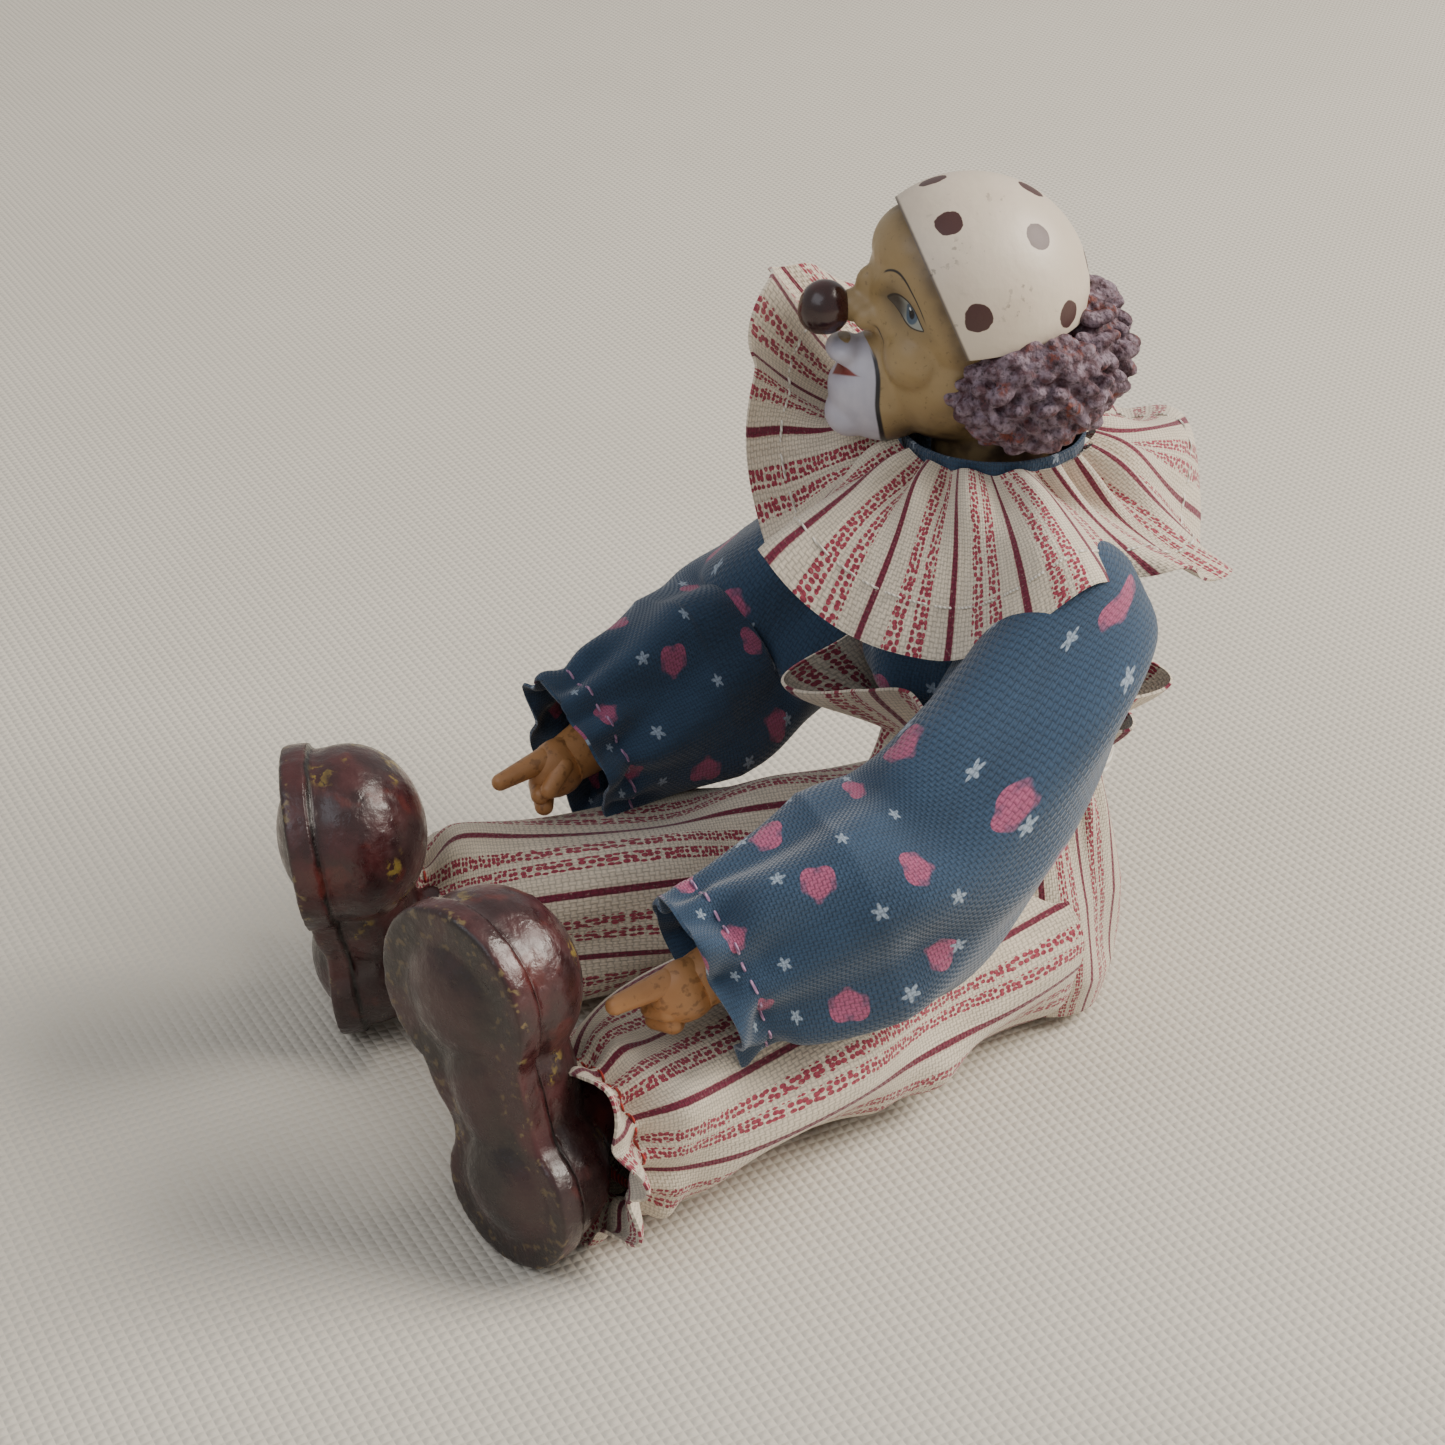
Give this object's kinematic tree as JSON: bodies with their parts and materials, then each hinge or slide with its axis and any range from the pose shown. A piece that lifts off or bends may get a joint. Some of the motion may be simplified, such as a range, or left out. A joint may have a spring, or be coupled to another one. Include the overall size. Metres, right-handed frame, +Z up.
{
  "type": "seated clown doll",
  "caption": "Seated clown doll with cast head, hands and boots on a wired cloth body in a ruff, smocked shirt and gathered striped trousers.",
  "frame": {"origin": "on the surface that the doll sits on, under the seat and midway between the hips", "axes": "+Z up; the doll faces -Y and its left side is +X"},
  "size_m": [0.0695, 0.1014, 0.0986],
  "materials": {
    "stuffing": "unbleached muslin and fibre filling",
    "wire": "annealed steel armature wire",
    "ticking": "cream plain-weave cotton printed with maroon stripes and speckled bands",
    "shirt_cotton": "blue cotton printed with small pink hearts and white stars",
    "thread_white": "white sewing thread and elastic",
    "thread_lilac": "lilac gathering elastic",
    "thread_red": "red gathering thread",
    "face_paint": "cast resin, ochre paint with brown antiquing, satin",
    "nose_paint": "cast resin, maroon gloss paint",
    "cap_paint": "cast resin, worn cream paint with maroon dots",
    "hair_paint": "cast resin curls, dry-brushed purple over maroon",
    "hand_paint": "cast resin, orange-tan paint, satin",
    "boot_paint": "cast resin, dark maroon gloss with rubbed gold spots"
  },
  "bodies": {
    "torso": {"torso_filling": "stuffing", "torso_casing": "stuffing", "spine_wire": "wire", "neck_thread": "thread_white", "shirt_body": "shirt_cotton", "neck_band": "shirt_cotton", "trousers_seat": "ticking", "waist_elastic": "thread_white", "collar_ruff": "ticking"},
    "head": {"head_casting": "face_paint", "nose_ball": "nose_paint", "skull_cap": "cap_paint", "hair_left": "hair_paint", "hair_back": "hair_paint", "hair_right": "hair_paint"},
    "left_upper_arm": {"left_sleeve_upper": "shirt_cotton", "left_upper_arm_filling": "stuffing", "left_upper_arm_wire": "wire"},
    "left_forearm": {"left_sleeve_lower": "shirt_cotton", "left_forearm_filling": "stuffing", "left_forearm_wire": "wire", "left_cuff_elastic": "thread_lilac"},
    "left_hand": {"left_hand": "hand_paint"},
    "left_thigh": {"left_trouser_thigh": "ticking", "left_thigh_filling": "stuffing", "left_thigh_wire": "wire"},
    "left_shin": {"left_trouser_shin": "ticking", "left_shin_filling": "stuffing", "left_shin_wire": "wire", "left_ankle_thread": "thread_red"},
    "left_boot": {"left_boot": "boot_paint"},
    "right_upper_arm": {"right_sleeve_upper": "shirt_cotton", "right_upper_arm_filling": "stuffing", "right_upper_arm_wire": "wire"},
    "right_forearm": {"right_sleeve_lower": "shirt_cotton", "right_forearm_filling": "stuffing", "right_forearm_wire": "wire", "right_cuff_elastic": "thread_lilac"},
    "right_hand": {"right_hand": "hand_paint"},
    "right_thigh": {"right_trouser_thigh": "ticking", "right_thigh_filling": "stuffing", "right_thigh_wire": "wire"},
    "right_shin": {"right_trouser_shin": "ticking", "right_shin_filling": "stuffing", "right_shin_wire": "wire", "right_ankle_thread": "thread_red"},
    "right_boot": {"right_boot": "boot_paint"}
  },
  "joints": [
    {"name": "head_turn", "type": "hinge", "parent": "torso", "child": "head", "pos_m": [0, -0.003, 0.066], "axis": [0, 0, 1], "range_deg": [-25, 40]},
    {"name": "left_shoulder_swing", "type": "hinge", "parent": "torso", "child": "left_upper_arm", "pos_m": [0.018, -0.004, 0.053], "axis": [-1, 0, 0], "range_deg": [-2, 12]},
    {"name": "left_elbow_bend", "type": "hinge", "parent": "left_upper_arm", "child": "left_forearm", "pos_m": [0.0255, -0.02, 0.038], "axis": [-1, 0, 0], "range_deg": [-3, 30]},
    {"name": "left_hand_twist", "type": "hinge", "parent": "left_forearm", "child": "left_hand", "pos_m": [0.0245, -0.047, 0.0295], "axis": [-0.0353, -0.9533, -0.3001], "range_deg": [-45, 45]},
    {"name": "left_hip_swing", "type": "hinge", "parent": "torso", "child": "left_thigh", "pos_m": [0.0105, -0.014, 0.0115], "axis": [-1, 0, 0], "range_deg": [-80, 2]},
    {"name": "left_knee_bend", "type": "hinge", "parent": "left_thigh", "child": "left_shin", "pos_m": [0.0158, -0.037, 0.0115], "axis": [1, 0, 0], "range_deg": [0, 90]},
    {"name": "left_boot_twist", "type": "hinge", "parent": "left_shin", "child": "left_boot", "pos_m": [0.0225, -0.062, 0.0115], "axis": [0, -1, 0], "range_deg": [-30, 30]},
    {"name": "right_shoulder_swing", "type": "hinge", "parent": "torso", "child": "right_upper_arm", "pos_m": [-0.018, -0.004, 0.053], "axis": [-1, 0, 0], "range_deg": [-2, 12]},
    {"name": "right_elbow_bend", "type": "hinge", "parent": "right_upper_arm", "child": "right_forearm", "pos_m": [-0.0295, -0.013, 0.0355], "axis": [-1, 0, 0], "range_deg": [-3, 30]},
    {"name": "right_hand_twist", "type": "hinge", "parent": "right_forearm", "child": "right_hand", "pos_m": [-0.025, -0.039, 0.0285], "axis": [0.1648, -0.9524, -0.2564], "range_deg": [-45, 45]},
    {"name": "right_hip_swing", "type": "hinge", "parent": "torso", "child": "right_thigh", "pos_m": [-0.0105, -0.014, 0.0115], "axis": [-1, 0, 0], "range_deg": [-80, 2]},
    {"name": "right_knee_bend", "type": "hinge", "parent": "right_thigh", "child": "right_shin", "pos_m": [-0.0158, -0.037, 0.0115], "axis": [1, 0, 0], "range_deg": [0, 90]},
    {"name": "right_boot_twist", "type": "hinge", "parent": "right_shin", "child": "right_boot", "pos_m": [-0.0225, -0.062, 0.0115], "axis": [0, -1, 0], "range_deg": [-30, 30]}
  ]
}
